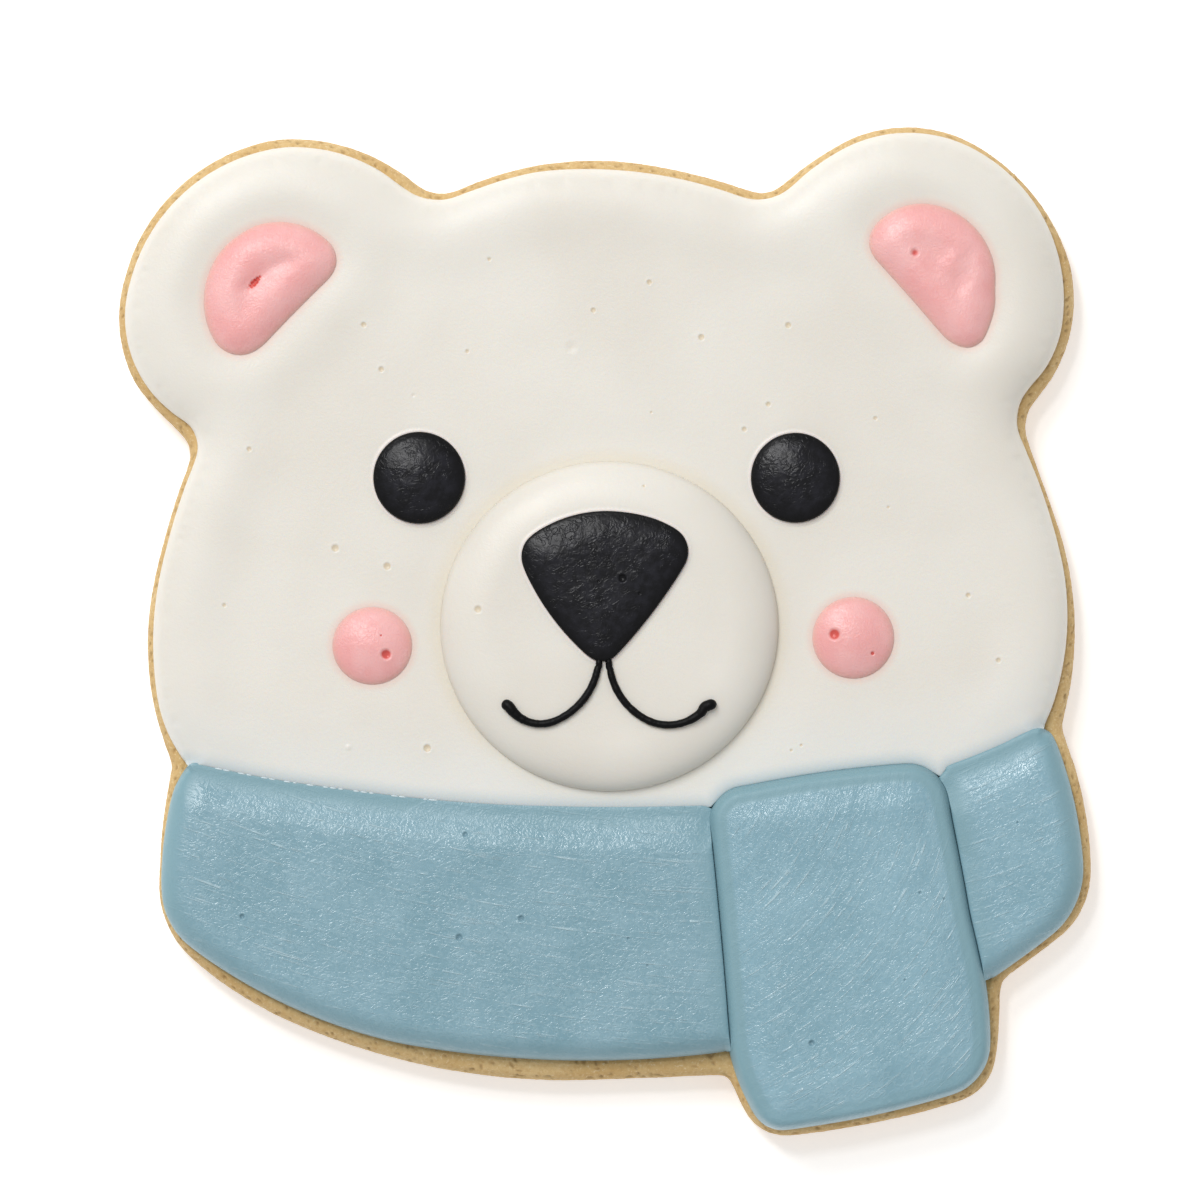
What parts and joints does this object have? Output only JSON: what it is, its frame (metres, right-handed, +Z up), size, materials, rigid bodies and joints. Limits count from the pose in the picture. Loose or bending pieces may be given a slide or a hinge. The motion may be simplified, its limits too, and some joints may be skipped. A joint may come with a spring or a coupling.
{
  "type": "iced sugar cookie",
  "caption": "Flat cut-out sugar biscuit shaped as a bear's head in a scarf, with raised pools of set icing for its face, muzzle, eyes, nose, cheeks, ears and scarf.",
  "frame": {"origin": "middle of the footprint, on the table under the biscuit", "axes": "+Z up out of the iced side, +Y towards the ears, +X to the right looking down on the iced side"},
  "size_m": [0.0978, 0.1015, 0.0122],
  "materials": {
    "biscuit": "baked golden sugar dough, matt and grainy with fine pores",
    "white_icing": "set royal icing, warm white, smooth with a soft satin sheen and a few popped bubbles",
    "black_icing": "set royal icing, black, satin with a fine brushed texture",
    "pink_icing": "set royal icing, pale pink, satin, with a few bubble pits",
    "blue_icing": "set royal icing, dusty blue, satin with fine brushed strokes"
  },
  "bodies": {
    "root": {"cookie": "biscuit", "face_icing": "white_icing", "muzzle": "white_icing", "nose": "black_icing", "mouth_left": "black_icing", "mouth_right": "black_icing", "eye_left": "black_icing", "eye_right": "black_icing", "cheek_left": "pink_icing", "cheek_right": "pink_icing", "inner_ear_left": "pink_icing", "inner_ear_right": "pink_icing", "scarf_left": "blue_icing", "scarf_right": "blue_icing", "scarf_tail": "blue_icing"}
  },
  "joints": []
}
